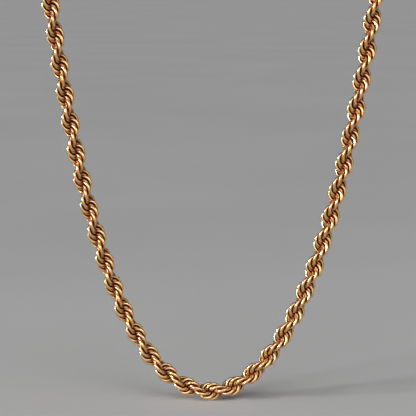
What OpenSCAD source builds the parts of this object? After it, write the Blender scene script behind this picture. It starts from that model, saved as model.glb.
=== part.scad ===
// Rope chain necklace, held in the form in which it hangs round a neck.
// The origin is at the nape, in the middle of the clasp. +Z is up, and the front of the necklace faces -Y.
// Each half of the rope rises from the lowest point in front, bends back over the shoulder, runs along the
// side of the neck and goes round the nape into the clasp.

/* [Loop] */
// Length of the whole necklace along its centreline, clasp included
loop_l = 508; // [470:2:600]
// Width scale of the curve in which the front hangs
curve_w = 17.2; // [15:0.1:20]
// Height scale of the curve in which the front hangs
curve_h = 21.2; // [17:0.1:26]
// Radius at which each half bends back over the shoulder
shoulder_r = 18; // [12:1:24]
// Straight run of each half along the side of the neck
side_l = 28; // [12:1:36]

/* [Rope] */
// Thickness of each of the two strands that are twisted together
strand_d = 2.8; // [2.6:0.1:3.4]
// Distance between the middles of the two strands
strand_spacing = 2.2; // [1.6:0.1:2.5]
// Length of a half turn of the twist where the links hang slack, left of the lowest point
slack_left_pitch = 6.6; // [5.8:0.1:7.2]
// The same length, right of the lowest point
slack_right_pitch = 6.2; // [5.4:0.1:7]
// Length of a half turn of the twist where the weight pulls the links tight
taut_pitch = 7.8; // [7.3:0.1:9]
// Length over which the twist lengthens, left of the lowest point
slack_left_l = 82; // [50:1:130]
// Length over which the twist lengthens, right of the lowest point
slack_right_l = 102; // [50:1:130]
// Turn of the strands at the lowest point, away from lying one above the other
first_turn = -26; // [-90:1:90]

/* [Clasp] */
// Length of the barrel
clasp_l = 16; // [12:1:24]
// Wall of the barrel round the seated rope
clasp_wall = 0.8; // [0.7:0.1:1.4]
// Length of rope that is seated in each end of the barrel
seat_l = 4; // [2:0.5:5]
// Radius of the barrel's rounded rims
rim_r = 0.5; // [0.2:0.1:0.6]
// Gap between the seated rope and the barrel
clearance = 0.15; // [0.1:0.05:0.3]

/* [Hidden] */
$fn = 96;

gold = [0.83, 0.61, 0.31];
pale_gold = [0.86, 0.66, 0.37];

LEFT = -1;
RIGHT = 1;

// Length of a quarter circle of radius 1, and degrees in an angle whose arc has length 1 there
quarter = PI / 2;
degrees = 180 / PI;

back = [0, 1, 0];

// The last stretch of each half is straight, so that it enters the barrel square
lead_l = clasp_l / 2;
half_l = loop_l / 2;

// The front hangs in a plane: x = curve_w * t and z = curve_h * (cosh(t) - 1)
curve_end = 4;
curve_steps = 400;
curve_dt = curve_end / curve_steps;

function sinh(t) = (exp(t) - exp(-t)) / 2;
function cosh(t) = (exp(t) + exp(-t)) / 2;
function unit(v) = v / norm(v);
function mirrored(v) = [-v.x, v.y, v.z];
function turned(v, a) = [v.x * cos(a) - v.y * sin(a), v.x * sin(a) + v.y * cos(a), v.z];

function hang_point(t) = [curve_w * t, 0, curve_h * (cosh(t) - 1)];
function hang_tangent(t) = unit([curve_w, 0, curve_h * sinh(t)]);
function curve_chord(i) = norm(hang_point((i + 1) * curve_dt) - hang_point(i * curve_dt));

// Rows of distance along the curve from its lowest point, and the parameter t there
curve_table = [
    for (i = 0, s = 0; i <= curve_steps; s = s + curve_chord(i), i = i + 1)
    [s, i * curve_dt]
];

// The front hangs as long as is left when the rest of each half has its length
function nape_radius(t) = curve_w * t + shoulder_r * hang_tangent(t).x - lead_l;
function whole_half(s, t) = s + quarter * (shoulder_r + nape_radius(t)) + side_l + lead_l;
half_table = [for (row = curve_table) [whole_half(row[0], row[1]), row[0]]];

hang_l = lookup(half_l, half_table);
top_t = lookup(hang_l, curve_table);
nape_r = nape_radius(top_t);

// Distances from the lowest point at which the stretches of each half begin
shoulder_s = hang_l;
side_s = shoulder_s + quarter * shoulder_r;
nape_s = side_s + side_l;
lead_s = nape_s + quarter * nape_r;
rope_end_s = lead_s + seat_l;

// Points at which the stretches begin
top_point = hang_point(top_t);
top_tangent = hang_tangent(top_t);
top_inward = [-top_tangent.z, 0, top_tangent.x];
side_start = top_point + shoulder_r * (top_tangent + back);
nape_start = side_start + side_l * back;
nape_centre = [lead_l, nape_start.y, nape_start.z];
nape_point = [0, nape_centre.y + nape_r, nape_centre.z];

// A place on the right half is its point, its tangent and the direction towards the inside of the loop
function hang_place(t) =
    let (tangent = hang_tangent(t))
    [hang_point(t), tangent, [-tangent.z, 0, tangent.x]];
function shoulder_place(a) = [
    top_point + shoulder_r * (sin(a) * top_tangent + (1 - cos(a)) * back),
    cos(a) * top_tangent + sin(a) * back,
    top_inward
];
function side_place(d) = [side_start + d * back, back, top_inward];
function nape_place(a) = [
    nape_centre + turned(nape_start - nape_centre, a),
    turned(back, a),
    turned(top_inward, a)
];
function lead_place(d) =
    let (start = nape_place(90))
    [start[0] + d * start[1], start[1], start[2]];
function half_place(s) =
    s < shoulder_s ? hang_place(lookup(s, curve_table)) :
    s < side_s ? shoulder_place((s - shoulder_s) / shoulder_r * degrees) :
    s < nape_s ? side_place(s - side_s) :
    s < lead_s ? nape_place((s - nape_s) / nape_r * degrees) :
    lead_place(s - lead_s);

// On the whole rope s is below 0 left of the lowest point, and the tangent points from left to right there
function rope_place(s) =
    let (place = half_place(abs(s)))
    s < 0 ? [mirrored(place[0]), -mirrored(place[1]), mirrored(place[2])] : place;

// Half turns of the twist are counted from the lowest point. Their pitch grows evenly over the slack
// length, and then stays the taut one.
function slack_pitch(side) = side == LEFT ? slack_left_pitch : slack_right_pitch;
function slack_length(side) = side == LEFT ? slack_left_l : slack_right_l;
function growth(side) = (taut_pitch - slack_pitch(side)) / slack_length(side);
function slack_turns(side) = ln(taut_pitch / slack_pitch(side)) / growth(side);
function turns_at(s, side) =
    s < slack_length(side)
    ? ln(1 + growth(side) * s / slack_pitch(side)) / growth(side)
    : slack_turns(side) + (s - slack_length(side)) / taut_pitch;
function distance_at(turns, side) =
    turns < slack_turns(side)
    ? slack_pitch(side) / growth(side) * (exp(growth(side) * turns) - 1)
    : slack_length(side) + (turns - slack_turns(side)) * taut_pitch;

// Outline of the rope's section: two round strands side by side, with a groove between them
rope_w = strand_d + strand_spacing;
strand_points = 6;
groove_angle = 180 - acos(strand_spacing / strand_d);
function strand_outline(side) = [
    for (i = [0:strand_points - 1])
    let (a = groove_angle * (2 * i / strand_points - 1))
    side / 2 * [strand_spacing + strand_d * cos(a), strand_d * sin(a)]
];
rope_outline = concat(strand_outline(RIGHT), strand_outline(LEFT));

// The outline laid across the rope at one place, turned as far as the twist has come
function rope_ring(s, turns) =
    let (place = rope_place(s),
         forward = cross(place[1], place[2]),
         turned = first_turn + 180 * turns,
         long = cos(turned) * place[2] + sin(turned) * forward,
         short = cross(place[1], long))
    [for (p = rope_outline) place[0] - nape_point + p.x * long + p.y * short];

rings_per_turn = 6;

module twisted_rope(side) {
    end_turns = turns_at(rope_end_s, side);
    steps = ceil(end_turns * rings_per_turn);
    first = side == LEFT ? -steps : 0;
    sides = len(rope_outline);
    points = [
        for (i = [first:first + steps])
        let (turns = end_turns * abs(i) / steps)
        each rope_ring(side * distance_at(turns, side), side * turns)
    ];
    walls = [
        for (ring = [0:steps - 1], i = [0:sides - 1])
        let (a = ring * sides + i, b = ring * sides + (i + 1) % sides)
        each [[a, a + sides, b], [a + sides, b + sides, b]]
    ];
    start_cap = [for (i = [0:sides - 1]) i];
    end_cap = [for (i = [sides - 1:-1:0]) steps * sides + i];
    polyhedron(points, concat(walls, [start_cap, end_cap]), convexity = 20);
}

module rope_left() {
    color(gold) twisted_rope(LEFT);
}

module rope_right() {
    color(gold) twisted_rope(RIGHT);
}

// Outline of one side of the barrel's section, from its axis out and round to its axis again
bore_r = rope_w / 2 + clearance;
barrel_r = bore_r + clasp_wall;
end_z = clasp_l / 2;
floor_z = end_z - seat_l - clearance;
rim_steps = 8;
function rim_arc(end, from) = [
    for (i = [0:rim_steps])
    let (a = from + 90 * i / rim_steps)
    [barrel_r - rim_r + rim_r * cos(a), end * (end_z - rim_r) + rim_r * sin(a)]
];
barrel_outline = concat(
    [[0, -floor_z], [bore_r, -floor_z], [bore_r, -end_z]],
    rim_arc(-1, -90),
    rim_arc(1, 0),
    [[bore_r, end_z], [bore_r, floor_z], [0, floor_z]]
);

module clasp() {
    color(pale_gold)
        rotate([0, 90, 0])
            rotate_extrude() polygon(barrel_outline);
}

rope_left();
rope_right();
clasp();
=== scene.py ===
"""A rope chain necklace of small round gold links, closed by a plain barrel clasp and set in a plain studio.

Sizes are in metres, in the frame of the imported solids: the origin is at the nape, in the middle of the clasp,
+Z is up and the front of the necklace faces -Y.
"""

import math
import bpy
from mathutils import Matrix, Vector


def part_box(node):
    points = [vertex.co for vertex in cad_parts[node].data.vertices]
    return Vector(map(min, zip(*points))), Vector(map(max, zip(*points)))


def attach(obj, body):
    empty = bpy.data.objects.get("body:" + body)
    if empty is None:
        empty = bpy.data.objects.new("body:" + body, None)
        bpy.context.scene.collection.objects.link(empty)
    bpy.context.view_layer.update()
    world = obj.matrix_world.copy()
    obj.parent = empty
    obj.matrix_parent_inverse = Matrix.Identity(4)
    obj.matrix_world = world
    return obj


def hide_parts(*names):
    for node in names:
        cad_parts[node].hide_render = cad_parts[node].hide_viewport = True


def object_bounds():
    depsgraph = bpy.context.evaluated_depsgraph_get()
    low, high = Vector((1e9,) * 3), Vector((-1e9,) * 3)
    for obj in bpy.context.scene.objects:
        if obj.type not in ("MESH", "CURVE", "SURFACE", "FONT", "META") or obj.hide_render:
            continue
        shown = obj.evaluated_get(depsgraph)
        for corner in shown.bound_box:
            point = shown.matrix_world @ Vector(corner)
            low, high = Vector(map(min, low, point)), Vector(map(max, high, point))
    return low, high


bl_info = {
    "name": "Rope Chain Necklace",
    "version": (1, 0, 0),
    "blender": (4, 5, 0),
    "location": "3D View > Sidebar > Necklace",
    "description": "Models a rope chain necklace link by link and sets it in a plain studio",
    "category": "Add Mesh",
}

import bpy
import numpy as np
from bpy.props import FloatProperty, FloatVectorProperty, IntProperty, PointerProperty
from mathutils import Matrix, Quaternion, Vector

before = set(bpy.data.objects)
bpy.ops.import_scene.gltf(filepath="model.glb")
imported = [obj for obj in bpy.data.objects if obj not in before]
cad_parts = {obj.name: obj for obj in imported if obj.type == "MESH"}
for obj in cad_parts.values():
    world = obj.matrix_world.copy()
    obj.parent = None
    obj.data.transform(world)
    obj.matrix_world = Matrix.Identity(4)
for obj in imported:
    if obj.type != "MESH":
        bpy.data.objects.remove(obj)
cad_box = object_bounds()
clasp_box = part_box("clasp")

LEFT = -1
RIGHT = 1
QUARTER = math.pi / 2
BACK = Vector((0, 1, 0))

# The front hangs in a plane: x = curve_w * t and z = curve_h * (cosh(t) - 1), for t from 0 up to this end
CURVE_END = 4
CURVE_STEPS = 400

# Steps of this share of a whole never line up, so neighbouring links take well-spread tints from it
GOLDEN_SHARE = 0.618

# Neighbours that come close to a link, as steps from its number
NEIGHBOURS = (-4, -3, -2, -1, 1, 2, 3, 4)

# Corners of a link nearer to each other than this share of the wire's thickness are one corner
MERGE_SHARE = 0.01

# Width of the photograph in pixels, and the nearest and farthest things that the camera sees
PHOTO_W = 416
CLIP_NEAR = 0.01
CLIP_FAR = 100

# The panel that lights the floor and what it is turned to, from the floor below the front of the necklace
PANEL_PLACE = Vector((0.12, -0.42, 0.33))
PANEL_AIM = Vector((0, 0, 0.03))


def length(name, description, default):
    """A size in metres that the sidebar shows in the scene's own unit."""
    return FloatProperty(
        name=name, description=description, default=default, precision=5, unit="LENGTH"
    )


def angle(name, description, degrees):
    """An angle that is kept in radians and shown in degrees."""
    return FloatProperty(
        name=name, description=description, default=math.radians(degrees), unit="ROTATION"
    )


def share(name, description, default):
    """A number from 0 to 1."""
    return FloatProperty(
        name=name, description=description, default=default, min=0, max=1, subtype="FACTOR"
    )


def direction(name, description, default):
    """A direction, as a vector of any length."""
    return FloatVectorProperty(name=name, description=description, default=default, subtype="DIRECTION")


def colour(name, description, default):
    """A colour in linear light."""
    return FloatVectorProperty(
        name=name, description=description, default=default, min=0, max=1, size=3, subtype="COLOR"
    )


def number(name, description, default):
    """A plain number."""
    return FloatProperty(name=name, description=description, default=default)


class RouteSizes(bpy.types.PropertyGroup):
    """Sizes of the loop in which the necklace hangs"""

    loop_l: length("Loop Length", "Length of the whole necklace along its centreline, clasp included", 0.508)
    curve_w: length("Curve Width", "Width scale of the curve in which the front hangs", 0.0172)
    curve_h: length("Curve Height", "Height scale of the curve in which the front hangs", 0.0212)
    shoulder_r: length("Shoulder Radius", "Radius at which each half bends back over the shoulder", 0.018)
    side_l: length("Side Length", "Straight run of each half along the side of the neck", 0.028)
    clasp_l: length("Clasp Length", "Length of the barrel", clasp_box[1].x - clasp_box[0].x)
    seat_l: length("Seat Length", "Length of rope that is seated in each end of the barrel", 0.004)


class LinkSizes(bpy.types.PropertyGroup):
    """Sizes of the links and of the twist in which they follow each other"""

    rope_w: length("Rope Width", "Width of the rope", 0.005)
    link_w: length("Link Width", "Outer width of a link", 0.0044)
    wire_d: length("Wire Thickness", "Thickness of the round wire of a link", 0.00085)
    turn_links: IntProperty(name="Links a Turn", description="Links in a half turn of the twist", default=10)
    link_sides: IntProperty(name="Link Sides", description="Straight stretches round a link", default=16)
    wire_sides: IntProperty(name="Wire Sides", description="Flat faces round its wire", default=6)
    slack_left_pitch: length("Slack Pitch Left", "Length of a half turn where the left hangs slack", 0.0066)
    slack_right_pitch: length("Slack Pitch Right", "The same length, on the right half", 0.0062)
    taut_pitch: length("Taut Pitch", "Length of a half turn where the weight pulls the links tight", 0.0078)
    slack_left_l: length("Slack Left", "Length over which the twist lengthens, on the left half", 0.082)
    slack_right_l: length("Slack Right", "The same length, on the right half", 0.102)
    first_turn: angle("First Turn", "Turn at the lowest point, away from links that lie upright", -26)


class GoldLook(bpy.types.PropertyGroup):
    """Colours and gloss of the gold, and the colours of the shade painted on it"""

    yellow: colour("Yellow Gold", "Gold of most links", (0.97, 0.65, 0.27))
    pink: colour("Pink Gold", "Gold of the pinkest links", (0.97, 0.61, 0.36))
    clasp: colour("Clasp Gold", "Gold of the barrel clasp", (0.93, 0.60, 0.24))
    # Deeper gold painted on the flanks, as the shade and reflection that neighbouring links cast on each other
    flank_shade: colour("Deep Gold", "Gold of the flanks, where the links face each other", (0.93, 0.52, 0.16))
    # Dark red-brown painted shade between the links and deep inside the rope
    painted_shade: colour("Tarnish", "Red-brown film between the links", (0.17, 0.010, 0.002))
    gloss: share("Polish Roughness", "Roughness of the rubbed outer faces", 0.28)
    # Roughness of the inner faces, which also take the painted shade
    shaded_faces: share("Tarnish Roughness", "Roughness of the tarnished inner faces", 0.5)


class StudioLook(bpy.types.PropertyGroup):
    """Floor, lights and air of the studio"""

    floor_gap: length("Floor Gap", "Gap between the lowest link and the floor", 0.0001)
    floor_w: length("Floor Width", "Width of the floor", 24.0)
    paper: colour("Floor Colour", "Colour of the floor", (0.63, 0.63, 0.63))
    air: colour("Air Colour", "Colour of the dim light from all round", (0.08, 0.08, 0.08))
    key_way: direction("Key Way", "Where the key light comes from", (-0.90, -0.40, 0.25))
    key_lamps: IntProperty(name="Key Lamps", description="Lamps side by side in the key light", default=4)
    key_spread: angle("Key Spread", "Angle that is shared out evenly among these lamps", 20)
    key: number("Key", "Strength of all these lamps together", 2.8)
    key_w: angle("Key Width", "How wide each lamp looks from the necklace", 5)
    glow_way: direction("Glow Way", "Where the broad light beside the key light is", (-0.68, -0.56, 0.3))
    glow: number("Glow", "Strength of the glow, which is this broad light", 0.5)
    glow_w: angle("Glow Width", "How wide the glow looks from the necklace", 80)
    fill_way: direction("Fill Way", "Where the fill light comes from", (0.3, -0.9, 0.0))
    fill: number("Fill", "Strength of the fill light", 2.0)
    fill_w: angle("Fill Width", "How wide the fill light looks from the necklace", 120)
    panel_w: length("Panel Width", "Width of the panel that lights the floor in front", 0.3)
    panel: FloatProperty(name="Panel Power", description="Power of this panel", default=0.6, unit="POWER")


class CameraPlace(bpy.types.PropertyGroup):
    """Where the camera stands, and how it frames the front of the necklace"""

    aim_h: length("Aim Height", "Height of the aimed point above the lowest point of the rope", 0.053)
    distance: length("Distance", "Distance of the camera from the aimed point", 0.42)
    elevation: angle("Elevation", "Angle at which the camera looks down", 8)
    roll: angle("Roll", "Turn of the camera about the way it looks, against the clock", 0.48)
    focal: number("Focal Length", "Focal length of the lens, in millimetres", 137.10)
    right: number("Shift Right", "How far right of the middle the aimed point shows, in pixels", 2.82)
    up: number("Shift Up", "How far above the middle the aimed point shows, in pixels", 11.38)


def read_off(x, x_rows, y_rows):
    """The y of a table at x, read between its rows."""
    return float(np.interp(x, x_rows, y_rows))


class Route:
    """The rope's centreline and its twist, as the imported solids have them.

    Distances are counted along the rope from its lowest point, and half turns of the twist too. Both are
    below 0 on the left half.
    """

    def __init__(self, sizes, links):
        self.sizes = sizes
        self.links = links
        self.lead_l = sizes.clasp_l / 2
        self.t_rows = np.linspace(0, CURVE_END, CURVE_STEPS + 1)
        x = sizes.curve_w * self.t_rows
        z = sizes.curve_h * (np.cosh(self.t_rows) - 1)
        self.s_rows = np.append(0, np.cumsum(np.hypot(np.diff(x), np.diff(z))))
        across = sizes.curve_w / np.hypot(sizes.curve_w, sizes.curve_h * np.sinh(self.t_rows))
        nape_rows = x + sizes.shoulder_r * across - self.lead_l
        half_rows = self.s_rows + QUARTER * (sizes.shoulder_r + nape_rows) + sizes.side_l + self.lead_l
        self.shoulder_s = read_off(sizes.loop_l / 2, half_rows, self.s_rows)
        top_t = read_off(self.shoulder_s, self.s_rows, self.t_rows)
        self.top, self.top_tangent, self.top_inward = self.hang_place(top_t)
        self.nape_r = sizes.curve_w * top_t + sizes.shoulder_r * self.top_tangent.x - self.lead_l
        self.side_s = self.shoulder_s + QUARTER * sizes.shoulder_r
        self.nape_s = self.side_s + sizes.side_l
        self.lead_s = self.nape_s + QUARTER * self.nape_r
        self.end_s = self.lead_s + sizes.seat_l
        self.side_start = self.top + sizes.shoulder_r * (self.top_tangent + BACK)
        self.nape_start = self.side_start + sizes.side_l * BACK
        self.nape_centre = Vector((self.lead_l, self.nape_start.y, self.nape_start.z))
        self.nape_point = Vector((0, self.nape_centre.y + self.nape_r, self.nape_centre.z))
        self.slack_l = {LEFT: links.slack_left_l, RIGHT: links.slack_right_l}
        self.slack_pitch = {LEFT: links.slack_left_pitch, RIGHT: links.slack_right_pitch}

    def hang_place(self, t):
        """Point, tangent and direction towards the inside of the loop, on the hanging front."""
        point = Vector((self.sizes.curve_w * t, 0, self.sizes.curve_h * (math.cosh(t) - 1)))
        tangent = Vector((self.sizes.curve_w, 0, self.sizes.curve_h * math.sinh(t))).normalized()
        return point, tangent, Vector((-tangent.z, 0, tangent.x))

    def shoulder_place(self, turned):
        side = math.sin(turned) * self.top_tangent + (1 - math.cos(turned)) * BACK
        tangent = math.cos(turned) * self.top_tangent + math.sin(turned) * BACK
        return self.top + self.sizes.shoulder_r * side, tangent, self.top_inward

    def nape_place(self, turned):
        turn = Matrix.Rotation(turned, 3, "Z")
        point = self.nape_centre + turn @ (self.nape_start - self.nape_centre)
        return point, turn @ BACK, turn @ self.top_inward

    def half_place(self, s):
        """A place on the right half, whose front starts at the world's origin."""
        if s < self.shoulder_s:
            return self.hang_place(read_off(s, self.s_rows, self.t_rows))
        if s < self.side_s:
            return self.shoulder_place((s - self.shoulder_s) / self.sizes.shoulder_r)
        if s < self.nape_s:
            return self.side_start + (s - self.side_s) * BACK, BACK, self.top_inward
        if s < self.lead_s:
            return self.nape_place((s - self.nape_s) / self.nape_r)
        point, tangent, inward = self.nape_place(QUARTER)
        return point + (s - self.lead_s) * tangent, tangent, inward

    def place(self, s):
        """A place on the whole rope, in the necklace's own frame."""
        point, tangent, inward = self.half_place(abs(s))
        if s < 0:
            mirror = Matrix.Diagonal((-1, 1, 1))
            point, tangent, inward = mirror @ point, -(mirror @ tangent), mirror @ inward
        return point - self.nape_point, tangent, inward

    def distance_at(self, turns):
        """Distance of a count of half turns. Their pitch grows evenly, and then stays the taut one."""
        side = LEFT if turns < 0 else RIGHT
        turns = abs(turns)
        slack_pitch = self.slack_pitch[side]
        taut_pitch = self.links.taut_pitch
        growth = (taut_pitch - slack_pitch) / self.slack_l[side]
        slack_turns = min(turns, math.log(taut_pitch / slack_pitch) / growth)
        slack_l = slack_pitch / growth * (math.exp(growth * slack_turns) - 1)
        return side * (slack_l + (turns - slack_turns) * taut_pitch)

    def link_matrix(self, link_number):
        """Lays a link that was modelled flat round the origin into its numbered place in the rope.

        Each link is turned a step further than the last, and every second one half a turn more, so that
        odd and even links lean out to opposite sides and make the two strands.
        """
        turns = link_number / self.links.turn_links
        point, tangent, inward = self.place(self.distance_at(turns))
        forward = tangent.cross(inward)
        turned = self.links.first_turn + math.pi * (turns + link_number % 2)
        across = math.cos(turned) * inward + math.sin(turned) * forward
        matrix = Matrix((tangent, across, tangent.cross(across))).transposed().to_4x4()
        matrix.translation = point
        return matrix


class Signal:
    """A number that a node gives, which takes part in Python arithmetic by adding Math nodes."""

    def __init__(self, nodes, socket):
        self.nodes = nodes
        self.socket = socket

    def math(self, operation, *values):
        return self.nodes.add("ShaderNodeMath", {"operation": operation}, dict(enumerate(values)))

    def __add__(self, other):
        return self.math("ADD", self, other)

    def __sub__(self, other):
        return self.math("SUBTRACT", self, other)

    def __rsub__(self, other):
        return self.math("SUBTRACT", other, self)

    def __mul__(self, other):
        return self.math("MULTIPLY", self, other)

    __radd__ = __add__
    __rmul__ = __mul__

    def step(self, low, high):
        """Rises smoothly from 0 at low to 1 at high."""
        return self.nodes.add(
            "ShaderNodeMapRange",
            {"interpolation_type": "SMOOTHSTEP"},
            {"Value": self, "From Min": low, "From Max": high},
        )


class Finish:
    """A material with one Principled shader, and the nodes that feed it."""

    def __init__(self, name, metallic, roughness):
        self.material = bpy.data.materials.new(name)
        self.material.use_nodes = True
        self.tree = self.material.node_tree
        self.shader = self.tree.nodes["Principled BSDF"]
        self.shader.inputs["Metallic"].default_value = metallic
        self.shader.inputs["Roughness"].default_value = roughness

    def add(self, kind, settings, sockets, output=0):
        """Adds a node with its settings and the values or links of its sockets, and gives one output."""
        node = self.tree.nodes.new(kind)
        for name, value in settings.items():
            setattr(node, name, value)
        for key, value in sockets.items():
            self.feed(node.inputs[key], value)
        return Signal(self, node.outputs[output])

    def feed(self, socket, value):
        if isinstance(value, Signal):
            self.tree.links.new(value.socket, socket)
        else:
            socket.default_value = value

    def attribute(self, name):
        return self.add("ShaderNodeAttribute", {"attribute_name": name}, {}, "Fac")

    def place(self):
        """The point on the surface, in metres, in the necklace's own frame."""
        return self.add("ShaderNodeTexCoord", {}, {}, "Object")

    def stretched(self, scale):
        """The point on the surface, with each direction scaled by itself."""
        return self.add("ShaderNodeMapping", {}, {"Vector": self.place(), "Scale": scale})

    def noise(self, grain, where, detail=3):
        """Noise from 0 to 1 whose lumps are about a grain across."""
        sockets = {"Vector": where, "Scale": 1 / grain, "Detail": detail}
        return self.add("ShaderNodeTexNoise", {}, sockets, "Fac")

    def mix(self, amount, first, second):
        """A blend of two colours, which is the first at amount 0."""
        settings = {"data_type": "RGBA", "clamp_factor": True}
        first, second = (c if isinstance(c, Signal) else (*c, 1) for c in (first, second))
        return self.add("ShaderNodeMix", settings, {0: amount, 6: first, 7: second}, 2)

    def bump(self, height, depth):
        """Raises the surface by up to this depth, in metres."""
        normal = self.add("ShaderNodeBump", {}, {"Height": height, "Strength": 1, "Distance": depth})
        self.feed(self.shader.inputs["Normal"], normal)


# Where the deeper gold painted on the flanks as shade and reflection, the dark painted shade between links and
# the dark painted shade in the core start, and where they are full. The first two go by how close the next link
# is, and the third by the depth in the rope.
FLANK_SHADE_STEP = (0, 0.5)
NOOK_SHADE_STEP = (0.22, 0.75)
CORE_SHADE_STEP = (0.37, 0.9)

# Smudges on the links: their width, how far they shift the edge of the painted shade in the core, and how much
# they dull
SMUDGE_W = 0.0011
SMUDGE_SHIFT = 0.12
SMUDGE_DULL = 0.08

# Fine unevenness of the links' skin: its width and its height
GRAIN_W = 0.00012
GRAIN_H = 0.000004


def link_gold(look):
    """Gold that is rubbed to a gloss outside, with a deeper gold painted on the flanks as shade and reflection,
    and dark red-brown shade painted between and inside links.
    """
    finish = Finish("link gold", metallic=1, roughness=look.gloss)
    where = finish.place()
    smudge = finish.noise(SMUDGE_W, where) - 0.5
    # Painted shade deep inside the rope, its edge shifted by the smudges
    core_shade = (finish.attribute("depth") + SMUDGE_SHIFT * smudge).step(*CORE_SHADE_STEP)
    nook = finish.attribute("nook")
    # Where dark shade is painted: deep inside the rope and where the next links come close
    shaded_faces = core_shade + nook.step(*NOOK_SHADE_STEP)
    gold = finish.mix(finish.attribute("tint"), look.yellow, look.pink)
    # Deeper gold painted on the flanks as shade and reflection from the next links
    gold = finish.mix(nook.step(*FLANK_SHADE_STEP), gold, look.flank_shade)
    # The dark painted shade is laid over the gold
    finish.feed(finish.shader.inputs["Base Color"], finish.mix(shaded_faces, gold, look.painted_shade))
    roughness = look.gloss + (look.shaded_faces - look.gloss) * shaded_faces + SMUDGE_DULL * smudge
    finish.feed(finish.shader.inputs["Roughness"], roughness)
    finish.bump(finish.noise(GRAIN_W, where, detail=2), GRAIN_H)
    return finish.material


# Patches of the clasp that are rubbed brighter: their width, where they start and are full, the shade of
# the gold round them, and how much rougher it is
WORN_W = 0.0022
WORN_STEP = (0.42, 0.62)
DULL_SHADE = 0.86
DULL_ROUGHNESS = 0.14

# Rings that a lathe left on the clasp: their width, how little they change round it, how much they change
# its roughness, and their height
RING_W = 0.00016
RING_CHANGE = 0.004
RING_ROUGHNESS = 0.1
RING_H = 0.000006


def clasp_gold(look):
    """Gold with the faint rings of a lathe, rubbed brighter in patches."""
    finish = Finish("clasp gold", metallic=1, roughness=look.gloss)
    worn = finish.noise(WORN_W, finish.place()).step(*WORN_STEP)
    rings = finish.noise(RING_W, finish.stretched((1, RING_CHANGE, RING_CHANGE)), detail=2)
    dull = tuple(DULL_SHADE * c for c in look.clasp)
    finish.feed(finish.shader.inputs["Base Color"], finish.mix(worn, dull, look.clasp))
    roughness = look.gloss + DULL_ROUGHNESS * (1 - worn) + RING_ROUGHNESS * (rings - 0.5)
    finish.feed(finish.shader.inputs["Roughness"], roughness)
    finish.bump(rings, RING_H)
    return finish.material


# Roughness of the paper, the width of its mottle, and the shade of the mottle's darker places
PAPER_ROUGHNESS = 0.75
MOTTLE_W = 0.15
MOTTLE_SHADE = 0.86


def floor_paper(look):
    """Matt pale paper with a faint broad mottle."""
    finish = Finish("floor paper", metallic=0, roughness=PAPER_ROUGHNESS)
    mottle = finish.noise(MOTTLE_W, finish.place(), detail=4)
    shade = tuple(MOTTLE_SHADE * c for c in look.paper)
    finish.feed(finish.shader.inputs["Base Color"], finish.mix(mottle, shade, look.paper))
    return finish.material


def deselect_all():
    bpy.ops.object.select_all(action="DESELECT")


def edit_all():
    """Opens the active mesh in edit mode, with everything in it selected."""
    bpy.ops.object.mode_set(mode="EDIT")
    bpy.ops.mesh.select_all(action="SELECT")


def link_middle(links):
    """The middle of a link that leans out along Y, so that its outer side reaches the rope's surface."""
    return Vector((0, (links.rope_w - links.link_w) / 2, 0))


def nook_share(links, spot, normal):
    """How close a neighbouring link comes to a spot of a link's skin: 0 in the open, 1 where they touch.

    Its neighbours are taken to stand as close as they do where the left half hangs slack.
    """
    near = links.wire_d / 2
    ring_r = (links.link_w - links.wire_d) / 2
    gaps = []
    for i in NEIGHBOURS:
        turned = math.pi * (i / links.turn_links + i % 2)
        along = Vector((i * links.slack_left_pitch / links.turn_links, 0, 0))
        seen = Matrix.Rotation(-turned, 3, "X") @ (spot + near * normal - along) - link_middle(links)
        gaps.append(math.hypot(math.hypot(seen.x, seen.y) - ring_r, seen.z) - near)
    return min(1, max(0, 1 - min(gaps) / near))


def model_link(links):
    """One round link, laid flat: the wire's section is spun round an upright axis.

    Its skin is marked with its depth in the rope, which lies along X, and with how close the next links are.
    """
    deselect_all()
    bpy.ops.mesh.primitive_circle_add(
        vertices=links.wire_sides, radius=links.wire_d / 2, rotation=(QUARTER, 0, 0)
    )
    bpy.ops.object.transform_apply(location=False, rotation=True, scale=False)
    link = bpy.context.object
    edit_all()
    middle = link_middle(links)
    radius = (links.link_w - links.wire_d) / 2
    bpy.ops.transform.translate(value=middle + Vector((radius, 0, 0)))
    bpy.ops.mesh.spin(steps=links.link_sides, angle=2 * math.pi, center=middle, axis=(0, 0, 1))
    bpy.ops.mesh.select_all(action="SELECT")
    bpy.ops.mesh.remove_doubles(threshold=MERGE_SHARE * links.wire_d)
    bpy.ops.mesh.normals_make_consistent(inside=False)
    bpy.ops.object.mode_set(mode="OBJECT")
    bpy.ops.object.shade_smooth()
    # Depth in the rope and closeness of the next links say where the gold paints shade; the tint differs at
    # random per link
    for name in ("depth", "nook", "tint"):
        link.data.attributes.new(name, "FLOAT", "POINT")
    depth = link.data.attributes["depth"].data
    nook = link.data.attributes["nook"].data
    for i, vertex in enumerate(link.data.vertices):
        depth[i].value = 1 - math.hypot(vertex.co.y, vertex.co.z) / (links.rope_w / 2)
        nook[i].value = nook_share(links, vertex.co, vertex.normal)
    return link


def lay_links(name, link, route, numbers):
    """Copies the link to its numbered places in the rope and joins the copies into one piece."""
    deselect_all()
    for i in numbers:
        copy = link.copy()
        copy.data = link.data.copy()
        copy.data.transform(route.link_matrix(i))
        for value in copy.data.attributes["tint"].data:
            value.value = (i * GOLDEN_SHARE) % 1
        bpy.context.collection.objects.link(copy)
        copy.select_set(True)
    bpy.context.view_layer.objects.active = copy
    bpy.ops.object.join()
    copy.name = name
    copy.data.name = name
    return copy


def first_link_past(route, side):
    """Counts links from the lowest point up one half, to the first that would pass its seated end."""
    links = route.links
    last_s = route.end_s - links.link_w / 2
    count = 1
    while abs(route.distance_at(side * count / links.turn_links)) <= last_s:
        count += 1
    return count


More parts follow.
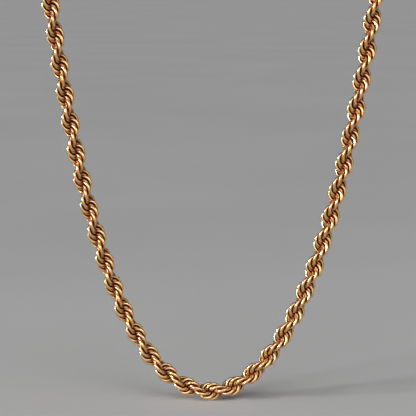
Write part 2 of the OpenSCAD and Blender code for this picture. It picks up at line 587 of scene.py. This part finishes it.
class NECKLACE_OT_camera(bpy.types.Operator):
    """Place the camera at the photograph's angle, with the front of the necklace in its frame"""

    bl_idname = "necklace.camera"
    bl_label = "Place Camera"

    def execute(self, context):
        scene = context.scene
        place = scene.camera_place
        route = Route(scene.route_sizes, scene.link_sizes)
        aim = route.place(0)[0] + Vector((0, 0, place.aim_h))
        away = Vector((0, -math.cos(place.elevation), math.sin(place.elevation)))
        data = bpy.data.cameras.new("camera")
        data.lens = place.focal
        data.shift_x = -place.right / PHOTO_W
        data.shift_y = -place.up / PHOTO_W
        data.clip_start = CLIP_NEAR
        data.clip_end = CLIP_FAR
        camera = bpy.data.objects.new("camera", data)
        camera.location = aim + place.distance * away
        turn = (-away).to_track_quat("-Z", "Y") @ Quaternion((0, 0, 1), place.roll)
        camera.rotation_euler = turn.to_euler()
        scene.collection.objects.link(camera)
        scene.camera = camera
        return {"FINISHED"}


class NECKLACE_OT_links(bpy.types.Operator):
    """Model one round link and lay its copies into both halves of the rope"""

    bl_idname = "necklace.links"
    bl_label = "Model Links"

    def execute(self, context):
        links = context.scene.link_sizes
        route = Route(context.scene.route_sizes, links)
        link = model_link(links)
        link.data.materials.append(link_gold(context.scene.gold_look))
        left_range = range(1 - first_link_past(route, LEFT), 0)
        right_range = range(first_link_past(route, RIGHT))
        for name, node, numbers in (
            ("links_left", "rope_left", left_range),
            ("links_right", "rope_right", right_range),
        ):
            piece = lay_links(name, link, route, numbers)
            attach(piece, "root")
            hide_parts(node)
        bpy.data.objects.remove(link)
        return {"FINISHED"}


class NECKLACE_OT_clasp(bpy.types.Operator):
    """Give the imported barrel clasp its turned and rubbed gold"""

    bl_idname = "necklace.clasp"
    bl_label = "Finish Clasp"

    def execute(self, context):
        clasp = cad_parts["clasp"]
        clasp.data.materials.clear()
        clasp.data.materials.append(clasp_gold(context.scene.gold_look))
        return {"FINISHED"}


def add_light(data, place, way):
    """Sets a light up at a place. It shines back along the way that leads towards it."""
    light = bpy.data.objects.new(data.name, data)
    light.location = place
    light.rotation_euler = (-Vector(way)).to_track_quat("-Z", "Y").to_euler()
    bpy.context.scene.collection.objects.link(light)


def add_far_light(name, strength, width, way):
    """A light so far off that it reaches everything from the same side, and that looks this wide."""
    data = bpy.data.lights.new(name, "SUN")
    data.energy = strength
    data.angle = width
    add_light(data, (0, 0, 0), way)


def add_panel(name, power, width, place, aim):
    """A square panel of light at a place, turned towards the aimed point."""
    data = bpy.data.lights.new(name, "AREA")
    data.energy = power
    data.size = width
    add_light(data, place, place - aim)


class NECKLACE_OT_stage(bpy.types.Operator):
    """Lay the pale floor just under the lowest link and set the soft lights"""

    bl_idname = "necklace.stage"
    bl_label = "Set Stage"

    def execute(self, context):
        scene = context.scene
        look = scene.studio_look
        scene.view_settings.view_transform = "Standard"
        low = cad_box[0]
        deselect_all()
        floor_z = low.z - look.floor_gap
        bpy.ops.mesh.primitive_plane_add(size=look.floor_w, location=(0, 0, floor_z))
        bpy.ops.object.transform_apply(location=True, rotation=False, scale=False)
        floor = context.object
        floor.name = "floor"
        floor.data.materials.append(floor_paper(look))
        for i in range(look.key_lamps):
            turn = Matrix.Rotation(look.key_spread * ((i + 0.5) / look.key_lamps - 0.5), 3, "Z")
            add_far_light("key light", look.key / look.key_lamps, look.key_w, turn @ Vector(look.key_way))
        add_far_light("glow", look.glow, look.glow_w, look.glow_way)
        add_far_light("fill light", look.fill, look.fill_w, look.fill_way)
        front = Vector((0, low.y, floor_z))
        add_panel("front panel", look.panel, look.panel_w, front + PANEL_PLACE, front + PANEL_AIM)
        world = bpy.data.worlds.new("studio air")
        world.use_nodes = True
        world.node_tree.nodes["Background"].inputs["Color"].default_value = (*look.air, 1)
        scene.world = world
        return {"FINISHED"}


class NECKLACE_PT_panel(bpy.types.Panel):
    """The steps that make the necklace, and the sizes and colours that they read"""

    bl_idname = "NECKLACE_PT_panel"
    bl_label = "Rope Chain Necklace"
    bl_space_type = "VIEW_3D"
    bl_region_type = "UI"
    bl_category = "Necklace"

    def draw(self, context):
        for operator in OPERATORS:
            self.layout.operator(operator.bl_idname)
        for name, group in SETTINGS.items():
            box = self.layout.box()
            box.label(text=group.__name__)
            for field in group.__annotations__:
                box.prop(getattr(context.scene, name), field)


SETTINGS = {
    "route_sizes": RouteSizes,
    "link_sizes": LinkSizes,
    "gold_look": GoldLook,
    "studio_look": StudioLook,
    "camera_place": CameraPlace,
}
OPERATORS = (NECKLACE_OT_camera, NECKLACE_OT_links, NECKLACE_OT_clasp, NECKLACE_OT_stage)


def register():
    for made in (*SETTINGS.values(), *OPERATORS, NECKLACE_PT_panel):
        bpy.utils.register_class(made)
    for name, group in SETTINGS.items():
        setattr(bpy.types.Scene, name, PointerProperty(type=group))


def unregister():
    for name in SETTINGS:
        delattr(bpy.types.Scene, name)
    for made in (NECKLACE_PT_panel, *reversed(OPERATORS), *reversed(SETTINGS.values())):
        bpy.utils.unregister_class(made)


def main():
    register()
    bpy.ops.necklace.camera()
    bpy.ops.necklace.links()
    bpy.ops.necklace.clasp()
    bpy.ops.necklace.stage()


if __name__ == "__main__":
    main()
